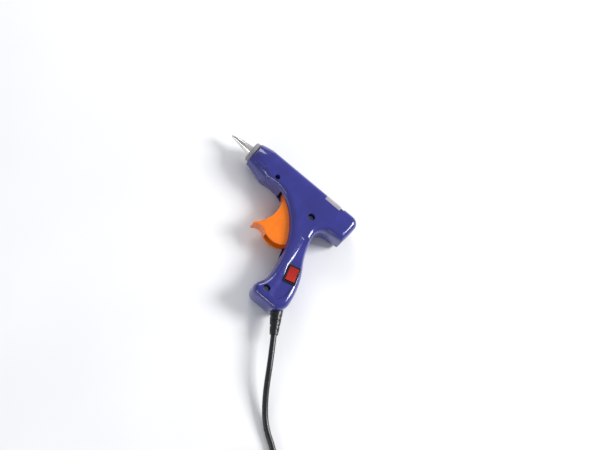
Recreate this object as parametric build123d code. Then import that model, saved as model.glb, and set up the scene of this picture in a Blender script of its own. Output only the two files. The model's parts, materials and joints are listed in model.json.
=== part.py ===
from build123d import *
import math
import os

# Small hot-melt glue gun for 7 mm sticks, millimetres.
# It is drawn in its own frame: x runs back from the nozzle tip along the glue
# stick, y points up, and z points to the left side, with z = 0 at the parting
# plane of the two casing halves. Everything is then laid on its right side,
# with +Z up and the origin under the middle of the gun, without its cord.

# ---- driving dimensions ----
LENGTH = 129.0  # nozzle tip to the back of the body
TOP = 10.0  # top edge above the stick's axis
BOTTOM = -98.0  # foot of the handle
HALF_WIDTH = 13.0
WALL = 1.8
EDGE_ROUND = 6.0  # rounding of the casing's long edges
BARREL_FRONT = 24.5
BARREL_HALF = 10.7  # half height and half width of the barrel's front end
BARREL_DROP = 0.8  # how far the barrel's middle lies under the stick's axis
CHIN = (46.0, -14.2)  # where the barrel's straight underside begins
TAPER_END = 62.0  # where the round barrel has run out into the flat sides
BARREL_FLARE = 0.26  # growth of the barrel's radius along its length

STICK_BORE = 3.75  # guides for a 7.2 mm stick
CHAMBER_R = 4.8
SLEEVE_R = 5.6
PIVOT = (74.0, -14.0)  # trigger hinge
SWING = 18.0  # degrees from rest to fully squeezed
ARM = 14.0  # height of the stick's axis above the trigger hinge
TRAVEL = 2 * ARM * math.tan(math.radians(SWING / 2))
FORK_PIN_X = PIVOT[0] + TRAVEL / 2
TRIGGER_HALF = 7.0
ARM_IN, ARM_OUT = 7.7, 9.3  # the fork's arms lie between these z values
SCREWS = {"front": (52.2, -7.9), "centre": (95.0, -16.0), "grip": (104.0, -88.5)}
SWITCH_AT = (113.0, -66.0)
SWITCH_RAKE = 17.0  # how far its long side leans from the vertical
SWITCH_SIZE = (15.4, 10.8)  # bezel
PANEL_DEPTH = 1.3  # the shallow panel on the handle that the switch sits in
PANEL_RAMP = 3.4  # width of the gentle slope along the panel's front edge
WINDOW = (94.0, 109.0, 4.2)  # front, back and underside
NOTCH = (112.6, 5.6)  # back and floor of the notch behind the window
EXIT_AT = (122.6, -94.6)  # where the cord leaves the handle, at the round corner of its foot
EXIT_LEAN = 31.5  # degrees back from straight down
CORD_R = 2.5
RELIEF_LONG = 20.0
COIL_AT = (131.7, -193.0)  # on the surface, in the laid-down frame
COIL_OUTER, COIL_INNER = 32.5, 20.0  # radii of the outer and inner turns, at the cord's middle
COIL_ENTRY, COIL_EXIT = 40.0, -5.0  # degrees, where the cord joins and leaves
COIL_LAYERS = 2
PLUG_TAIL = (95.0, -258.5, 7.0)  # where the cord meets the plug
STUB = 24.0  # straight cord that belongs to the coil at each end

SHIFT = (-LENGTH / 2, -(TOP + BOTTOM) / 2, HALF_WIDTH)

os.makedirs("parts", exist_ok=True)


def save(name, shape):
    """Lay a piece drawn in the gun's frame down and write it."""
    export_step(Pos(*SHIFT) * shape, f"parts/{name}.step")


def rod(x0, x1, r, y=0.0, z=0.0):
    """A round bar along the stick's axis."""
    return Pos((x0 + x1) / 2, y, z) * Rot(0, 90, 0) * Cylinder(r, x1 - x0)


def post(at, r, z0, z1):
    """A round bar across the gun."""
    return Pos(at[0], at[1], (z0 + z1) / 2) * Cylinder(r, z1 - z0)


def block(x0, x1, y0, y1, z0, z1):
    return Pos((x0 + x1) / 2, (y0 + y1) / 2, (z0 + z1) / 2) * Box(x1 - x0, y1 - y0, z1 - z0)


def turned(*profile):
    """A solid of revolution about the stick's axis from (x, radius) points."""
    return revolve(make_face(Polyline(*profile, close=True)), Axis.X, 360)


def mirrored(shape):
    return mirror(shape, Plane.XY)


# ---- casing ----
def outline():
    """The side view of the casing, from the front of the barrel over the top."""
    top = Line((BARREL_FRONT, 9.6), (121.5, TOP))
    shoulder = TangentArc(top @ 1, (LENGTH, 2.5), tangent=top % 1)
    back = TangentArc(shoulder @ 1, (127.5, -14.0), tangent=shoulder % 1)
    heel = Line(back @ 1, (114.2, -16.3))
    web = TangentArc(heel @ 1, (106.8, -26.1), tangent=heel % 1)
    spine = TangentArc(web @ 1, (116.3, -54.0), tangent=web % 1)
    swell = TangentArc(spine @ 1, (126.6, -86.0), tangent=spine % 1)
    end, way = swell @ 1, swell % 1
    foot_r = (end.Y - BOTTOM) / (1 + way.X)
    foot = TangentArc(end, (end.X + foot_r * way.Y, BOTTOM), tangent=way)
    base = Line(foot @ 1, (101.5, BOTTOM))
    hook = TangentArc(base @ 1, (95.8, -87.0), tangent=base % 1)
    throat = TangentArc(hook @ 1, (98.9, -77.0), tangent=hook % 1)
    grip = TangentArc(throat @ 1, (91.3, -42.6), tangent=throat % 1)
    root = TangentArc(grip @ 1, (70.0, -17.8), tangent=grip % 1)
    jaw = TangentArc(root @ 1, CHIN, tangent=root % 1)
    way = jaw % 1
    run = (BARREL_FRONT - CHIN[0]) / way.X
    belly = Line(jaw @ 1, (BARREL_FRONT, CHIN[1] + run * way.Y))
    front = Line(belly @ 1, top @ 0)
    edges = [
        top, shoulder, back, heel, web, spine, swell, foot,
        base, hook, throat, grip, root, jaw, belly, front,
    ]
    return make_face(Wire(edges))


def half_body(inset):
    """One half of the gun's shape, drawn in by the inset on every side."""
    face = offset(outline(), -inset) if inset else outline()
    solid = extrude(face, HALF_WIDTH - inset)
    solid = fillet(solid.faces().sort_by(Axis.Z)[-1].edges(), EDGE_ROUND - inset)
    front, wide = BARREL_HALF - inset, BARREL_HALF - inset + BARREL_FLARE * (TAPER_END - BARREL_FRONT)
    cone = turned((BARREL_FRONT, 0), (BARREL_FRONT, front), (TAPER_END, wide), (TAPER_END, 0))
    return solid & (Pos(0, -BARREL_DROP, 0) * cone + block(TAPER_END, 150, -120, 20, 0, 20))


def guide_rail():
    """The groove that the carriage's pins slide in."""
    z0, z1 = ARM_OUT + 0.4, HALF_WIDTH - WALL
    return block(66, 84, -4, 4, z0, z1 + 0.5) - block(65, 85, -1.7, 1.7, z0 - 1, z1)


def ring_rib(x0, x1, r):
    """A plate across the barrel with a round seat for what it holds."""
    return block(x0, x1, -14, 10, 0, HALF_WIDTH) - rod(x0 - 1, x1 + 1, r)


def casing(left):
    outside = half_body(0)
    inside = half_body(WALL)
    shell = outside - inside
    bay = make_face(
        Polyline((61.6, -8), (86, -22), (101, -56.5), (58, -56.5), (58, -14), (61.6, -14), close=True)
    )
    shell -= extrude(bay, TRIGGER_HALF + 0.5)
    ribs = ring_rib(31.0, 33.0, 6.3) + ring_rib(61.9, 63.3, 6.0) + ring_rib(118.5, 120.0, 6.55)
    ribs += block(92.0, 93.4, -6.5, 10, 0, 6.5) - rod(91, 94, 4.4)
    ribs -= rod(45, 66, 2.4, 5.6, 7.4)
    ribs -= block(60, 66, -30, -8.5, -1, TRIGGER_HALF + 0.5)
    for at in SCREWS.values():
        ribs += post(at, 2.4 if at[0] < TAPER_END else 3.4, 0, HALF_WIDTH - 0.5)
    ribs += guide_rail()
    ribs += post(PIVOT, 3.4, ARM_OUT + 0.3, HALF_WIDTH - 0.5)
    ribs += block(97.5, 124.0, -84.2, -83.0, 0, HALF_WIDTH) - post((114.0, -83.6), 4, -1, 8)
    shell += ribs & inside
    shell -= post(PIVOT, 1.5, -1, HALF_WIDTH - WALL)
    shell -= rod(20, 30.9, 6.5) + rod(120, 140, 6.5)
    shell -= relief_hole()
    shell -= block(WINDOW[0], WINDOW[1] + 0.1, WINDOW[2], TOP + 5, -1, 20)
    shell -= block(WINDOW[1], NOTCH[0], NOTCH[1], TOP + 5, -1, 20)
    if left:
        panel = grip_panel(0)
        under = HALF_WIDTH - PANEL_DEPTH
        backing = offset(grip_panel(PANEL_RAMP), 1.0)
        shell += extrude(Pos(0, 0, under - WALL - 0.3) * backing, WALL + 0.3) & outside
        shell -= extrude(Pos(0, 0, under) * panel, 5)
        shell -= loft([Pos(0, 0, under) * panel, Pos(0, 0, HALF_WIDTH + 0.01) * grip_panel(PANEL_RAMP)])
        shell -= switch_frame() * Box(14.4, 9.8, 8)
        shell -= switch_frame() * Pos(0, 0, 5) * Box(SWITCH_SIZE[0] + 0.4, SWITCH_SIZE[1] + 0.4, 10)
    for at in SCREWS.values():
        small = at[0] < TAPER_END
        if left:
            shell -= post(at, 1.25, -1, 20)
            shell -= post(at, 2.1 if small else 3.0, 5.4 if small else 7.0, 20)
        else:
            shell -= post(at, 1.02, -1, 7)
    if not left:
        shell = mirrored(shell)
    return shell


def grip_panel(ramp):
    """The shallow recess along the back of the handle's left side, its front edge moved out by the ramp."""
    corners = [(104.4, -28.5), (107.4, -36.0), (111.4, -48.0), (115.6, -60.0), (119.7, -72.0), (120.4, -83.0),
               (116.8, -91.2), (111.6 - ramp, -90.6 - ramp / 4), (109.8 - ramp, -76.0), (107.6 - ramp, -62.0),
               (104.8 - ramp, -48.0), (102.4 - ramp, -35.0)]
    face = make_face(Polyline(*corners, close=True))
    return fillet(face.vertices(), 2.2)


def relief_axis():
    """A frame at the cord's exit with +Z along the way out."""
    lean = math.radians(EXIT_LEAN)
    return Plane(
        origin=(*EXIT_AT, 0), x_dir=(0, 0, 1), z_dir=(math.sin(lean), -math.cos(lean), 0)
    )


def relief_hole():
    return relief_axis() * Pos(0, 0, -2) * Cylinder(4.6, 12)


def switch_frame():
    """A frame on the panel's floor at the switch, x along its long side."""
    return Pos(*SWITCH_AT, HALF_WIDTH - PANEL_DEPTH) * Rot(0, 0, SWITCH_RAKE - 90)


# ---- hot end ----
def nozzle():
    return turned(
        (0, 0.7), (0, 1.3), (0.8, 1.7), (20.5, 4.3), (24.5, 4.6),
        (24.5, 3.2), (34, 3.2), (34, 1.6), (20, 1.6), (3, 0.7),
    )


def nozzle_collar():
    """The ring that closes the front of the casing round the nozzle."""
    flange = BARREL_FRONT - 0.1
    return turned(
        (20.4, 4.9), (20.4, 7.9), (21.2, 8.9), (flange, 9.2), (flange, 6.45), (30.5, 6.45), (30.5, 4.9)
    )


def melt_chamber():
    body = turned(
        (31, 3.25), (31, 6.2), (33.2, 6.2), (33.2, CHAMBER_R),
        (58, CHAMBER_R), (58, 3.7), (40, 3.6), (34.6, 3.25),
    )
    fins = [rod(x, x + 0.8, 5.4) - rod(x - 1, x + 2, CHAMBER_R - 0.2) for x in (34.6, 36.4, 53.6)]
    seat = block(38, 52, -3.6, 3.6, 3.0, CHAMBER_R + 0.4) - rod(37, 53, CHAMBER_R - 0.2)
    return body + fins + seat


def heater():
    return block(38.5, 51.5, -3.2, 3.2, CHAMBER_R + 0.45, CHAMBER_R + 2.4)


def heater_sheet():
    """The folded insulating film over the heater."""
    return block(37.5, 52.5, -3.8, 3.8, CHAMBER_R + 2.45, CHAMBER_R + 2.75)


def heater_clip():
    z1 = CHAMBER_R + 2.8
    outer = block(41, 49, -6.1, 6.1, -5.7, z1 + 0.5)
    return outer - block(40, 50, -5.6, 5.6, -5.1, z1)


def feed_sleeve():
    return turned(
        (56, 4.9), (56, SLEEVE_R), (67.5, SLEEVE_R), (67.5, 4.2), (65.5, 3.7), (58.1, 3.7), (58.1, 4.9)
    )


def sleeve_clamp():
    band = rod(58.4, 61.0, 6.4) - rod(58, 62, SLEEVE_R + 0.05)
    ears = block(58.4, 61.0, 6.0, 7.2, -1.6, 1.6)
    return band + ears - block(58, 62, 3, 8, -0.4, 0.4)


# ---- feed ----
def feed_carriage():
    front = PIVOT[0] - 0.5
    body = rod(front, front + 14.5, 5.3) + rod(front, front + 1.2, 7.3)
    body += rod(front + 12.5, front + 14.5, 6.2)
    body += post((FORK_PIN_X, 0), 1.4, -10.6, 10.6)
    body -= rod(front - 1, front + 16, 3.9)
    return body - block(77.9, 84.3, 0, 8, -2.4, 2.4)


def gripper_jaw():
    """The toothed block that bites the stick on the way forward."""
    body = block(78.1, 84.1, 4.1, 7.2, -2.2, 2.2)
    for k in range(4):
        x = 78.2 + 1.45 * k
        tooth = make_face(Polyline((x, 4.1), (x + 1.4, 4.1), (x, 4.7), close=True))
        body -= extrude(tooth, 3, both=True)
    return body


def return_spring():
    """A compression spring between the rib behind the sleeve and the carriage."""
    wire, start, end, turns = 0.4, 63.35, PIVOT[0] - 0.55, 5
    path = Helix((end - start - 2 * wire) / turns, end - start - 2 * wire, 6.55)
    coil = sweep(Plane(origin=path @ 0, z_dir=path % 0) * Circle(wire), path=path)
    return Pos(start + wire, 0, 0) * Rot(0, 90, 0) * coil


def trigger():
    front = ThreePointArc((63.8, -11.4), (69.9, -31.0), (61.2, -49.4))
    tip = TangentArc((61.2, -49.4), (62.2, -50.6), tangent=front % 1)
    under = ThreePointArc((62.2, -50.6), (66.5, -48.0), (71.5, -48.2))
    belly = ThreePointArc((71.5, -48.2), (81.5, -52.0), (92.0, -48.6))
    back = Polyline((92.0, -48.6), (95.0, -44.5), (88.0, -29.0), (79.5, -14.0), (74.0, -10.6), (63.8, -11.4))
    face = make_face(Wire([front, tip, under, belly] + list(back.edges())))
    body = extrude(face, TRIGGER_HALF, both=True)
    inner = Polyline((77.0, -26.0), (83.0, -28.0), (90.0, -43.0), (84.0, -47.0), (76.0, -44.5), close=True)
    body -= extrude(make_face(inner), TRIGGER_HALF - 2.0, both=True)
    body -= block(75, 96, -60, -43.5, -(TRIGGER_HALF - 2.0), TRIGGER_HALF - 2.0)
    body += post(PIVOT, 4.2, -TRIGGER_HALF, TRIGGER_HALF) + post(PIVOT, 2.6, -ARM_OUT, ARM_OUT)
    lean = -math.degrees(math.atan2(TRAVEL / 2, ARM))
    reach = math.hypot(TRAVEL / 2, ARM)
    for side in (1, -1):
        z0 = ARM_IN if side > 0 else -ARM_OUT
        arm = Pos(0, (reach + 3.4) / 2, 0) * Box(6.2, reach + 3.4, ARM_OUT - ARM_IN)
        arm -= Pos(0, reach - 0.1, 0) * Rot(0, 0, 90) * extrude(SlotCenterToCenter(1.6, 3.4), 3, both=True)
        body += Pos(*PIVOT, z0 + (ARM_OUT - ARM_IN) / 2) * Rot(0, 0, lean) * arm
    return body - post(PIVOT, 1.55, -20, 20)


def trigger_pin():
    return post(PIVOT, 1.48, -(HALF_WIDTH - WALL - 0.1), HALF_WIDTH - WALL - 0.1)


def inlet_guide():
    """The flared ring that the glue stick goes into."""
    return turned(
        (117, STICK_BORE), (117, 6.0), (120.1, 6.0), (120.1, 6.45), (LENGTH - 0.4, 6.45),
        (LENGTH - 0.4, 5.2), (LENGTH - 2.2, STICK_BORE)
    )


# ---- switch ----
def switch_housing():
    body = Pos(0, 0, -5.5) * Box(14.0, 9.4, 13) + Pos(0, 0, 0.55) * Box(*SWITCH_SIZE, 1.1)
    body = fillet(body.edges().filter_by(Axis.Z).group_by(SortBy.LENGTH)[0], 1.0)
    body -= Pos(0, 0, -1) * Box(13.0, 8.4, 8)
    for side in (1, -1):
        clip = make_face(Polyline((side * 7.0, -2.2), (side * 7.6, -2.2), (side * 7.0, -6), close=True))
        body += Plane.XZ * extrude(clip, 1.5, both=True)
    return switch_frame() * body


def rocker():
    """A rocker tilted to its off side, with a shallow dished face."""
    top = ThreePointArc((-5.8, 2.7), (0.0, 0.9), (5.8, 1.5))
    face = make_face(
        Wire([top] + list(Polyline((5.8, 1.5), (5.3, -1.6), (0.0, -4.3), (-5.3, -1.6), (-5.8, 2.7)).edges()))
    )
    body = Plane.XZ * extrude(face, 4.0, both=True)
    return switch_frame() * (body - Pos(0, 0, -1.6) * Rot(90, 0, 0) * Cylinder(0.85, 20))


def rocker_pin():
    return switch_frame() * (Pos(0, 0, -1.6) * Rot(90, 0, 0) * Cylinder(0.8, 8.38))


def switch_tabs():
    tab = Box(0.8, 4.8, 6.0) - Pos(0, 0, -1.2) * Rot(0, 90, 0) * Cylinder(0.8, 4)
    return switch_frame() * (Pos(-4.2, 0, -15.0) * tab + Pos(1.2, 0, -15.0) * tab)


# ---- pilot light ----
def pilot_window():
    half = half_body(0) & block(WINDOW[0] + 0.1, WINDOW[1], WINDOW[2], TOP + 5, -1, 20)
    body = half + mirrored(half)
    return body - block(WINDOW[0] + 1.6, WINDOW[1] - 1.6, WINDOW[2] - 1, TOP - 1.6, -9, 9)


def window_catch():
    """The catch that fills the notch behind the window, a little below the casing's surface."""
    half = half_body(0.8) & block(WINDOW[1] + 0.2, NOTCH[0] - 0.1, NOTCH[1] + 0.05, TOP, -1, 20)
    return half + mirrored(half)


def pilot_lamp():
    bulb = rod(97.5, 104.0, 1.7, 3.6, 6.4) + Pos(97.5, 3.6, 6.4) * Sphere(1.7)
    return bulb + rod(104.0, 105.5, 1.3, 3.6, 6.4)


# ---- fasteners ----
def screw(at):
    small = at[0] < TAPER_END
    seat, head = (5.4, 1.9) if small else (7.0, 2.7)
    body = post(at, 1.0, -6.8, seat) + post(at, head, seat, seat + 1.6)
    body = fillet(body.edges().group_by(Axis.Z)[-1], 0.7)
    cross = Pos(*at, seat + 1.6) * (Box(head * 1.1, 0.6, 1.8) + Box(0.6, head * 1.1, 1.8))
    return body - post(at, 0.06, -7, -6.9) - cross


def cord_clamp():
    bar = block(103.6, 120.4, -79.0, -75.0, 1.6, 3.6)
    return bar - post((106.0, -77.0), 1.0, 0, 5) - post((118.0, -77.0), 1.0, 0, 5)


def clamp_seat():
    """The ledge in the right half that the cord clamp screws down on."""
    return block(103.6, 108.4, -79.5, -74.5, -11.2, -1.6) + block(115.6, 120.4, -79.5, -74.5, -11.2, -1.6)


def clamp_screws():
    screws = [post(at, 0.95, -3, 3.6) + post(at, 1.9, 3.6, 5.0) for at in ((106.0, -77.0), (118.0, -77.0))]
    slots = [Pos(*at, 5.0) * Box(3.0, 0.6, 1.2) for at in ((106.0, -77.0), (118.0, -77.0))]
    return screws[0] - slots[0] + (screws[1] - slots[1])


# ---- wiring ----
def wire(r, *points):
    """An insulated wire along straight runs joined by arcs."""
    runs = [(Vector(*b) - Vector(*a)).length for a, b in zip(points, points[1:])]
    radii = []
    for k in range(1, len(points) - 1):
        before = Vector(*points[k]) - Vector(*points[k - 1])
        after = Vector(*points[k + 1]) - Vector(*points[k])
        turn = math.radians(before.get_angle(after))
        radii.append(0.45 * min(runs[k - 1], runs[k]) / math.tan(turn / 2))
    path = FilletPolyline(*points, radius=radii)
    tube = sweep(Plane(origin=path @ 0, z_dir=path % 0) * Circle(r), path=path, transition=Transition.ROUND)
    return tube, path.length, radii


INNER_WIRES = {
    "wire_supply": [(116.4, -85.8, -0.9), (114.6, -80.5, -0.9), (114.0, -75.0, -4.2), (112.8, -70.1, -7.8)],
    "wire_live": [
        (111.2, -62.6, -7.6), (108.0, -53.5, -5.6), (106.4, -44, 0.5), (104.2, -33, 5.0), (102.2, -20, 8.4),
        (96, -8.0, 9.7), (88, 5.2, 8.7), (76, 6.2, 8.4), (64.6, 5.8, 7.2), (53.0, 2.0, 7.2),
    ],
    "wire_neutral": [
        (114.2, -87.0, 1.0), (111.5, -77, -5.2), (107.6, -66.5, -8.2), (105.4, -54, -8.7),
        (104.4, -40, -8.6), (102.2, -26, -8.9), (100.4, -14, -9.6), (92, -2.5, -9.8), (86, 5.2, -8.7),
        (76, 6.2, -8.4), (64.6, 5.8, -7.2), (53.0, 2.0, -6.6),
    ],
}


# ---- cord, laid down on the surface ----
def laid(points):
    """Points given in the laid-down frame, in the gun's frame."""
    return [tuple(c - s for c, s in zip(p, SHIFT)) for p in points]


def strain_relief():
    axis = relief_axis()
    neck = Pos(0, 0, -7.0) * Cylinder(5.6, 2.0) + Pos(0, 0, -3.0) * Cylinder(4.4, 10.0)
    boot = axis * Pos(0, 0, (RELIEF_LONG - 3) / 2) * Cone(5.6, 3.4, RELIEF_LONG + 3)
    gun = half_body(0) + mirrored(half_body(0))
    body = axis.to_local_coords(boot - gun) + neck
    for k in range(5):
        z = 4.4 + 3.9 * k
        r = 5.4 - 2.0 * z / RELIEF_LONG
        ring = Cylinder(8, 1.3) - Cylinder(r - 0.75, 1.3)
        body -= Pos(0, 0, z) * (ring - (Box(1.6, 20, 2) if k % 2 else Box(20, 1.6, 2)))
    return axis * body


def coil_points():
    """Where the cord joins and leaves the coil, as tangent point and direction."""
    ends = []
    for angle, z in ((COIL_ENTRY, CORD_R + 0.1), (COIL_EXIT, 3 * CORD_R + 0.1)):
        a = math.radians(angle)
        at = Vector(COIL_AT[0] + COIL_OUTER * math.cos(a), COIL_AT[1] + COIL_OUTER * math.sin(a), z)
        ends.append((at, Vector(math.sin(a), -math.cos(a), 0)))
    return ends


def cord_coil():
    (entry, way_in), (leave, way_out) = coil_points()
    high = 2 * CORD_R * COIL_LAYERS + 0.1
    ring = Cylinder(COIL_OUTER + CORD_R, high) - Cylinder(COIL_INNER - CORD_R, high)
    ring = fillet(ring.edges(), 2.2)
    body = Pos(*COIL_AT, high / 2) * ring
    for start, way in ((entry - way_in * STUB, way_in), (leave, way_out)):
        body += Plane(origin=start, z_dir=way) * Pos(0, 0, STUB / 2) * Cylinder(CORD_R, STUB)
    return Pos(*[-s for s in SHIFT]) * body


def coil_tie():
    """A tie over the coil's bundle, on the side away from the gun."""
    at = math.radians(-60)
    high = 2 * CORD_R * COIL_LAYERS + 0.1
    wide = COIL_OUTER - COIL_INNER + 2 * CORD_R
    middle = (COIL_OUTER + COIL_INNER) / 2
    band = Box(wide + 2.6, 4.0, high + 1.4) - Box(wide + 0.2, 5.0, high + 0.2)
    band = band & Pos(0, 0, 5) * Box(60, 60, high + 10)
    place = Pos(COIL_AT[0] + middle * math.cos(at), COIL_AT[1] + middle * math.sin(at), high / 2)
    return Pos(*[-s for s in SHIFT]) * place * Rot(0, 0, -60) * band


def cord_routes():
    (entry, way_in), (leave, way_out) = coil_points()
    exit_plane = relief_axis()
    start = Vector(*SHIFT) + exit_plane.origin + exit_plane.z_dir * RELIEF_LONG
    main = [
        tuple(start), tuple(start + exit_plane.z_dir * 21), (93.5, -108.5, 7.4), (109.0, -127.0, 2.7),
        tuple(entry - way_in * (STUB + 19)), tuple(entry - way_in * STUB),
    ]
    lead = [
        tuple(leave + way_out * STUB), tuple(leave + way_out * (STUB + 20)), (146.5, -254.5, 5.2),
        (127.5, -260.8, 4.8), (110.0, -260.0, 7.0), PLUG_TAIL,
    ]
    return main, lead


def plug_place():
    return Pos(*[-s for s in SHIFT]) * Pos(*PLUG_TAIL) * Rot(0, 0, 174.3)


def plug_body():
    tail = Pos(8, 0, 0) * Rot(0, 90, 0) * Cone(3.4, 5.0, 16)
    plan = Polyline((15, -5.2), (15, 5.2), (24, 11.5), (43, 13.0), (43, -13.0), (24, -11.5), close=True)
    grip = extrude(make_face(plan), 6.7, both=True)
    grip = fillet(grip.edges().filter_by(lambda e: e.center().X < 42.9), 2.4)
    return plug_place() * (tail + grip)


def plug_pins():
    pins = [Pos(0, y, 0) * rod(43, 62, 2.0) for y in (-9.3, 9.3)]
    ends = [fillet(p.edges().group_by(Axis.X)[-1], 1.2) for p in pins]
    return plug_place() * (ends[0] + ends[1])


def main():
    right = casing(False) + (clamp_seat() & mirrored(half_body(WALL / 2)))
    right -= post((106.0, -77.0), 1.0, -4, 4) + post((118.0, -77.0), 1.0, -4, 4)
    save("casing_left", casing(True))
    save("casing_right", right)
    pieces = [
        nozzle, nozzle_collar, melt_chamber, heater, heater_sheet, heater_clip, feed_sleeve, sleeve_clamp,
        feed_carriage, gripper_jaw, return_spring, trigger, trigger_pin, inlet_guide, switch_housing, rocker,
        rocker_pin, switch_tabs, pilot_window, window_catch, pilot_lamp, cord_clamp, clamp_screws,
        strain_relief, cord_coil, coil_tie, plug_body, plug_pins,
    ]
    for piece in pieces:
        save(piece.__name__, piece())
    for name, at in SCREWS.items():
        save(f"screw_{name}", screw(at))
    for name, points in INNER_WIRES.items():
        save(name, wire(0.8, *points)[0])
    for name, points in zip(("power_cord", "plug_lead"), cord_routes()):
        tube, length, radii = wire(CORD_R, *laid(points))
        save(name, tube)
        share = tube.volume / (math.pi * CORD_R**2 * length)
        print(name, "length", round(length, 1), "radii", [round(r, 1) for r in radii])
        print(name, "volume against section times length", round(share, 3))
    print("carriage travel", round(TRAVEL, 3), "ratio per radian", round(TRAVEL / math.radians(SWING), 4))


main()
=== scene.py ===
import json
import math

import bmesh
import bpy
from mathutils import Matrix, Vector


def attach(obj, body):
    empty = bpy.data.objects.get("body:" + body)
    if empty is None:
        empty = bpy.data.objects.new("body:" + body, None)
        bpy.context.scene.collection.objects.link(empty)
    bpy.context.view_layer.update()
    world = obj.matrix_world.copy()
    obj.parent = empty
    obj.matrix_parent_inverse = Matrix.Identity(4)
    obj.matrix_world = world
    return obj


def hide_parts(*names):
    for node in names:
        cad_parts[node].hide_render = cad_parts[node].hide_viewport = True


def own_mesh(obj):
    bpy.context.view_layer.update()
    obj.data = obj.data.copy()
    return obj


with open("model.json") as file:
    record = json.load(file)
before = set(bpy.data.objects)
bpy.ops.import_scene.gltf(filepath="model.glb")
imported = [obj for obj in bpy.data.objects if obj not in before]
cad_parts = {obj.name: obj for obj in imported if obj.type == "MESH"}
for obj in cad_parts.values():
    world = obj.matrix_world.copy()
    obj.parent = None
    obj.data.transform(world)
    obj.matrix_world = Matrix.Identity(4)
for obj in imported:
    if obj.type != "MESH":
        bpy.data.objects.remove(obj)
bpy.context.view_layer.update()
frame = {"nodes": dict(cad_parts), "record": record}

MM = 0.001

# ---- camera ----
# It looks down on the gun's left side, leaning towards the underside of the barrel, and is
# rolled so that the nozzle points up and to the left.
LOOK_AT = Vector((27.4, 21.0, 13.0)) * MM
LEAN = math.radians(22)
ROLL = math.radians(40)
DISTANCE = 1.18
LENS = 85.0

back = Vector((0, -math.sin(LEAN), math.cos(LEAN)))
along = Vector((1, 0, 0))
across = back.cross(along)
right = along * math.cos(ROLL) + across * math.sin(ROLL)
up = across * math.cos(ROLL) - along * math.sin(ROLL)

cam_data = bpy.data.cameras.new("camera")
cam_data.lens = LENS
cam_data.clip_end = 10
camera = bpy.data.objects.new("camera", cam_data)
bpy.context.collection.objects.link(camera)
turn = Matrix((right, up, back)).transposed().to_4x4()
camera.matrix_world = Matrix.Translation(LOOK_AT + back * DISTANCE) @ turn
bpy.context.scene.camera = camera


# ---- helpers ----
def link(obj):
    bpy.context.collection.objects.link(obj)
    return obj


def add_piece(name, mesh, body, material, hides=()):
    """A new piece that rides on a body and may stand for CAD nodes."""
    obj = link(bpy.data.objects.new(name, mesh))
    mesh.materials.clear()
    mesh.materials.append(material)
    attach(obj, body)
    if hides:
        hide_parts(*hides)
    return obj


def refined(node, body, material, width=0.35, angle=32, segments=2):
    """A copy of a CAD part's mesh with its sharp edges rounded, in place of the part."""
    source = frame["nodes"][node]
    bm = bmesh.new()
    bm.from_mesh(source.data)
    bmesh.ops.remove_doubles(bm, verts=bm.verts, dist=1e-6)
    bmesh.ops.dissolve_limit(
        bm, angle_limit=math.radians(0.6), verts=bm.verts, edges=bm.edges, delimit={"NORMAL"}
    )
    mesh = bpy.data.meshes.new(node + "_shaped")
    bm.to_mesh(mesh)
    bm.free()
    obj = add_piece(node + "_shaped", mesh, body, material, (node,))
    bevel = obj.modifiers.new("round", "BEVEL")
    bevel.width = width * MM
    bevel.segments = segments
    bevel.limit_method = "ANGLE"
    bevel.angle_limit = math.radians(angle)
    bevel.harden_normals = True
    for face in mesh.polygons:
        face.use_smooth = True
    mesh.set_sharp_from_angle(angle=math.radians(angle))
    return obj


# ---- materials ----
def nodes_of(name):
    mat = bpy.data.materials.new(name)
    mat.use_nodes = True
    tree = mat.node_tree
    shader = tree.nodes["Principled BSDF"]
    return mat, tree, shader


def noise(tree, scale, detail=4.0, roughness=0.55, stretch=None):
    """Noise in object space, in features per metre."""
    coords = tree.nodes.new("ShaderNodeTexCoord")
    mapping = tree.nodes.new("ShaderNodeMapping")
    tex = tree.nodes.new("ShaderNodeTexNoise")
    mapping.inputs["Scale"].default_value = stretch or (1, 1, 1)
    tex.inputs["Scale"].default_value = scale
    tex.inputs["Detail"].default_value = detail
    tex.inputs["Roughness"].default_value = roughness
    tree.links.new(coords.outputs["Object"], mapping.inputs["Vector"])
    tree.links.new(mapping.outputs["Vector"], tex.inputs["Vector"])
    return tex.outputs["Fac"]


def ramp(tree, source, low, high, a=0.35, b=0.65):
    """Maps a 0 to 1 value onto two greys or colours."""
    node = tree.nodes.new("ShaderNodeValToRGB")
    node.color_ramp.elements[0].position = a
    node.color_ramp.elements[1].position = b
    for element, value in zip(node.color_ramp.elements, (low, high)):
        element.color = (value, value, value, 1) if isinstance(value, float) else (*value, 1)
    tree.links.new(source, node.inputs["Fac"])
    return node.outputs["Color"]


def bump(tree, shader, *layers):
    """Adds bump layers, each a height output, its strength and its depth in millimetres."""
    normal = None
    for height, strength, depth in layers:
        node = tree.nodes.new("ShaderNodeBump")
        node.inputs["Strength"].default_value = strength
        node.inputs["Distance"].default_value = depth * MM
        tree.links.new(height, node.inputs["Height"])
        if normal:
            tree.links.new(normal, node.inputs["Normal"])
        normal = node.outputs["Normal"]
    tree.links.new(normal, shader.inputs["Normal"])


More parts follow.
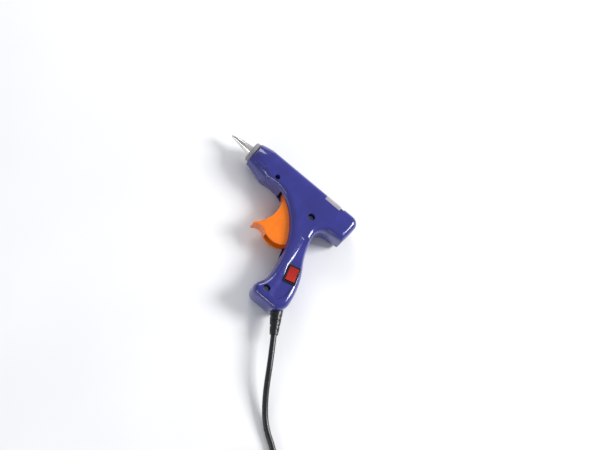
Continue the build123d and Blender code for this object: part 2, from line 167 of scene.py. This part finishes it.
def plastic(name, colour, rough=0.22, shade=0.8, coat=0.0, grain=2600, depth=0.02, flow=70):
    """Moulded plastic with flow marks in its colour, rubbed patches and a fine skin."""
    mat, tree, shader = nodes_of(name)
    dark = tuple(c * shade for c in colour)
    colours = ramp(tree, noise(tree, flow, 3.0, stretch=(1, 0.6, 1)), dark, colour, 0.3, 0.6)
    tree.links.new(colours, shader.inputs["Base Color"])
    rubbed = ramp(tree, noise(tree, 240, 6.0), rough * 0.8, rough * 1.35, 0.35, 0.7)
    tree.links.new(rubbed, shader.inputs["Roughness"])
    shader.inputs["Coat Weight"].default_value = coat
    shader.inputs["Coat Roughness"].default_value = 0.06
    shader.inputs["IOR"].default_value = 1.5
    bump(tree, shader, (noise(tree, grain, 3.0), 0.35, depth), (noise(tree, 110, 1.0), 0.25, depth * 5))
    return mat


def metal(name, colour, rough, brushed=(1, 1, 1), depth=0.01, grain=1800):
    """Metal with turning marks along one direction and duller patches."""
    mat, tree, shader = nodes_of(name)
    dark = tuple(c * 0.78 for c in colour)
    marks = noise(tree, grain, 5.0, stretch=brushed)
    tree.links.new(ramp(tree, noise(tree, 130, 4.0), dark, colour, 0.35, 0.55), shader.inputs["Base Color"])
    tree.links.new(ramp(tree, marks, rough * 0.7, rough * 1.5, 0.3, 0.7), shader.inputs["Roughness"])
    shader.inputs["Metallic"].default_value = 1.0
    bump(tree, shader, (marks, 0.5, depth))
    return mat


def rubber(name, colour, rough=0.5, grain=3200, depth=0.03):
    mat, tree, shader = nodes_of(name)
    light = tuple(min(1, c * 1.6 + 0.004) for c in colour)
    tree.links.new(ramp(tree, noise(tree, 320, 5.0), colour, light), shader.inputs["Base Color"])
    tree.links.new(ramp(tree, noise(tree, 500, 4.0), rough * 0.85, rough * 1.2), shader.inputs["Roughness"])
    bump(tree, shader, (noise(tree, grain, 2.0), 0.4, depth))
    return mat


def clear(name, colour, alpha, rough=0.12):
    mat, tree, shader = nodes_of(name)
    dark = tuple(c * 0.85 for c in colour)
    tree.links.new(ramp(tree, noise(tree, 90, 2.0), dark, colour), shader.inputs["Base Color"])
    tree.links.new(ramp(tree, noise(tree, 400, 4.0), rough, rough * 1.8), shader.inputs["Roughness"])
    shader.inputs["Alpha"].default_value = alpha
    shader.inputs["IOR"].default_value = 1.49
    bump(tree, shader, (noise(tree, 900, 2.0), 0.2, 0.02))
    return mat


INDIGO = plastic("indigo plastic", (0.03, 0.031, 0.235), 0.18, 0.8, 0.5)
ORANGE = plastic("orange plastic", (0.95, 0.2, 0.002), 0.28, 0.82, 0.25)
RED = plastic("red plastic", (0.42, 0.012, 0.006), 0.2, 0.8, 0.4)
BLACK = plastic("black plastic", (0.008, 0.008, 0.01), 0.2, 0.7, 0.4)
GREY = plastic("grey plastic", (0.27, 0.265, 0.28), 0.42, 0.85)
WHITE = plastic("white plastic", (0.7, 0.69, 0.64), 0.4, 0.92)
CERAMIC = plastic("ceramic", (0.62, 0.58, 0.5), 0.6, 0.9)
FILM = plastic("amber film", (0.36, 0.12, 0.01), 0.2, 0.8)
CORD = rubber("cord rubber", (0.006, 0.006, 0.007), 0.3)
SILICONE = rubber("silicone", (0.45, 0.06, 0.03), 0.5)
BROWN = rubber("brown wire", (0.09, 0.025, 0.01), 0.4)
BLUE = rubber("blue wire", (0.01, 0.05, 0.3), 0.4)
CHROME = metal("turned metal", (0.95, 0.92, 0.87), 0.2, (1.0, 0.08, 0.08))
ALLOY = metal("cast alloy", (0.72, 0.72, 0.73), 0.42, depth=0.04, grain=900)
STEEL = metal("bright steel", (0.6, 0.6, 0.61), 0.28)
DARK_STEEL = metal("dark steel", (0.3, 0.3, 0.34), 0.34)
BRASS = metal("brass", (0.72, 0.5, 0.2), 0.3)
CLEAR = clear("smoky window", (0.4, 0.38, 0.42), 0.86)
GLASS = clear("lamp glass", (0.8, 0.4, 0.2), 0.5)

# The black_plastic slot also colours the window catch. That is a black block set in the notch under the pilot
# window, standing in for the shadow in the notch: painted shade.
FINISH = {
    "casing_plastic": INDIGO, "trigger_plastic": ORANGE, "rocker_plastic": RED, "black_plastic": BLACK,
    "cord_rubber": CORD, "nozzle_metal": CHROME, "grey_plastic": GREY, "aluminium_cast": ALLOY,
    "spring_steel": STEEL, "screw_steel": DARK_STEEL, "silicone": SILICONE, "white_plastic": WHITE,
    "window_clear": CLEAR, "lamp_glass": GLASS, "heater_ceramic": CERAMIC, "film_amber": FILM,
    "wire_brown": BROWN, "wire_blue": BLUE, "brass_tabs": BRASS,
}
SLOT_OF = {part["node"]: part["material_slot"] for part in frame["record"]["subparts"]}
BODY_OF = {n: body for body, members in frame["record"]["behaviour"]["bodies"].items() for n in members}

# ---- cord ----
CORD_D = 5.0
COIL_AT = (131.7, -193.0)
OUTER, INNER = 32.5, 20.0  # radii of the coil's outer and inner turns, at the cord's middle
ENTRY, EXIT = math.radians(40), math.radians(-5)
DOWN_TURNS, CLIMB_TURNS, TURNS = 2.5, 0.25, 5.125
STUB = 24.0
PER_TURN = 16


def tangent_point(angle, z, ahead):
    """A point on the straight line that leaves the outer turn at an angle, clockwise."""
    x = COIL_AT[0] + OUTER * math.cos(angle) + ahead * math.sin(angle)
    y = COIL_AT[1] + OUTER * math.sin(angle) - ahead * math.cos(angle)
    return (x, y, z)


def coil_turns():
    """The coil's turns: inwards on the surface, up a layer, then outwards on top."""
    low, high = CORD_D / 2 + 0.1, CORD_D * 1.5 + 0.1
    points = []
    for k in range(1, int(TURNS * PER_TURN)):
        u = k / PER_TURN
        if u < DOWN_TURNS:
            r, z = OUTER - (OUTER - INNER) * u / DOWN_TURNS, low
        elif u < DOWN_TURNS + CLIMB_TURNS:
            share = (u - DOWN_TURNS) / CLIMB_TURNS
            r, z = INNER, low + (high - low) * share
        else:
            share = (u - DOWN_TURNS - CLIMB_TURNS) / (TURNS - DOWN_TURNS - CLIMB_TURNS)
            r, z = INNER + (OUTER - INNER) * share, high
        a = ENTRY - 2 * math.pi * u
        points.append((COIL_AT[0] + r * math.cos(a), COIL_AT[1] + r * math.sin(a), z))
    return points


def cord_points():
    low, high = CORD_D / 2 + 0.1, CORD_D * 1.5 + 0.1
    main = [
        (68.55, -67.653, 13.0), (79.522, -85.558, 13.0), (93.5, -108.5, 7.4), (109.0, -127.0, 2.7),
        tangent_point(ENTRY, low, -STUB - 19), tangent_point(ENTRY, low, -STUB),
        tangent_point(ENTRY, low, 0),
    ]
    lead = [
        tangent_point(EXIT, high, 0), tangent_point(EXIT, high, STUB), tangent_point(EXIT, high, STUB + 20),
        (146.5, -254.5, 5.2), (127.5, -260.8, 4.8), (110.0, -260.0, 7.0), (95.0, -258.5, 7.0),
    ]
    return main + coil_turns() + lead


def make_cord():
    data = bpy.data.curves.new("cord", "CURVE")
    data.dimensions = "3D"
    data.bevel_depth = CORD_D / 2 * MM
    data.bevel_resolution = 6
    data.resolution_u = 6
    data.use_fill_caps = True
    route = cord_points()
    spline = data.splines.new("NURBS")
    spline.points.add(len(route) - 1)
    for point, place in zip(spline.points, route):
        point.co = (*(c * MM for c in place), 1)
    spline.order_u = 3
    spline.use_endpoint_u = True
    obj = link(bpy.data.objects.new("mains_cord", data))
    data.materials.append(CORD)
    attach(obj, "casing")
    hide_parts("power_cord", "cord_coil", "plug_lead")
    return obj


cord = make_cord()

# ---- parts of the gun ----
for name, obj in frame["nodes"].items():
    obj.data.materials.clear()
    obj.data.materials.append(FINISH[SLOT_OF[name]])

ROUNDED = {
    "casing_left": 0.4, "casing_right": 0.4, "trigger": 1.0, "nozzle": 0.25, "nozzle_collar": 0.4,
    "inlet_guide": 0.3, "switch_housing": 0.25, "rocker": 0.45, "pilot_window": 0.25, "plug_body": 0.5,
    "strain_relief": 0.3, "feed_carriage": 0.25, "cord_clamp": 0.3, "screw_front": 0.12, "screw_centre": 0.15,
    "screw_grip": 0.15,
}
shaped = {
    name: refined(name, BODY_OF[name], FINISH[SLOT_OF[name]], width)
    for name, width in ROUNDED.items()
}
spring = add_piece(
    "return_spring_shaped", frame["nodes"]["return_spring"].data.copy(), "casing",
    FINISH[SLOT_OF["return_spring"]], ("return_spring",),
)
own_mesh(spring)


# ---- the coil's tie ----
def twist_tie():
    """Three parallel strands of coated wire bound over the coil, from inside it to outside it; they are not
    twisted together.
    """
    at = math.radians(-60)
    radial, high = Vector((math.cos(at), math.sin(at), 0)), 2 * CORD_D + 0.3
    centre = Vector((*COIL_AT, 0))
    inside, outside = INNER - CORD_D / 2 - 0.5, OUTER + CORD_D / 2 + 0.5
    data = bpy.data.curves.new("twist_tie", "CURVE")
    data.dimensions = "3D"
    data.bevel_depth = 0.35 * MM
    data.bevel_resolution = 3
    data.use_fill_caps = True
    side = Vector((-radial.y, radial.x, 0))
    for shift in (-0.9, 0.0, 0.9):
        loop = [(inside, 0.4), (inside, high - 1.0), (inside + 1.2, high + 0.05), (outside - 1.2, high + 0.05),
                (outside, high - 1.0), (outside, 0.4)]
        spline = data.splines.new("NURBS")
        spline.points.add(len(loop) - 1)
        for point, (r, z) in zip(spline.points, loop):
            point.co = (*((centre + radial * r + side * shift + Vector((0, 0, z))) * MM), 1)
        spline.order_u = 3
        spline.use_endpoint_u = True
    obj = link(bpy.data.objects.new("twist_tie", data))
    data.materials.append(BLACK)
    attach(obj, "casing")
    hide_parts("coil_tie")
    return obj


tie = twist_tie()

# ---- floor and lights ----
def pale_floor():
    mat, tree, shader = nodes_of("pale floor")
    colours = ramp(tree, noise(tree, 6, 2.0), (0.86, 0.86, 0.86), (0.9, 0.9, 0.9))
    tree.links.new(colours, shader.inputs["Base Color"])
    shader.inputs["Roughness"].default_value = 0.6
    bpy.ops.mesh.primitive_plane_add(size=6, location=(0, 0, -0.0002))
    floor = bpy.context.object
    floor.name = "floor"
    floor.data.materials.append(mat)


def softbox(name, place, size, power, tint=(1, 1, 1)):
    data = bpy.data.lights.new(name, "AREA")
    data.shape = "RECTANGLE"
    data.size, data.size_y = size
    data.energy = power
    data.color = tint
    obj = link(bpy.data.objects.new(name, data))
    obj.location = place
    obj.rotation_euler = (LOOK_AT - place).to_track_quat("-Z", "Y").to_euler()


pale_floor()
softbox("key", LOOK_AT + Vector((0.85, 0.75, 0.85)), (0.55, 0.55), 21)
softbox("nozzle_side", LOOK_AT + Vector((-0.75, 0.6, 0.6)), (0.6, 0.35), 4)
softbox("low_strip", LOOK_AT + Vector((-0.1, -0.95, 0.4)), (1.1, 0.06), 2.6)
world = bpy.data.worlds.new("studio")
world.use_nodes = True
world.node_tree.nodes["Background"].inputs["Color"].default_value = (0.9, 0.93, 1.0, 1)
world.node_tree.nodes["Background"].inputs["Strength"].default_value = 0.42
bpy.context.scene.world = world
bpy.context.scene.view_settings.view_transform = "Standard"
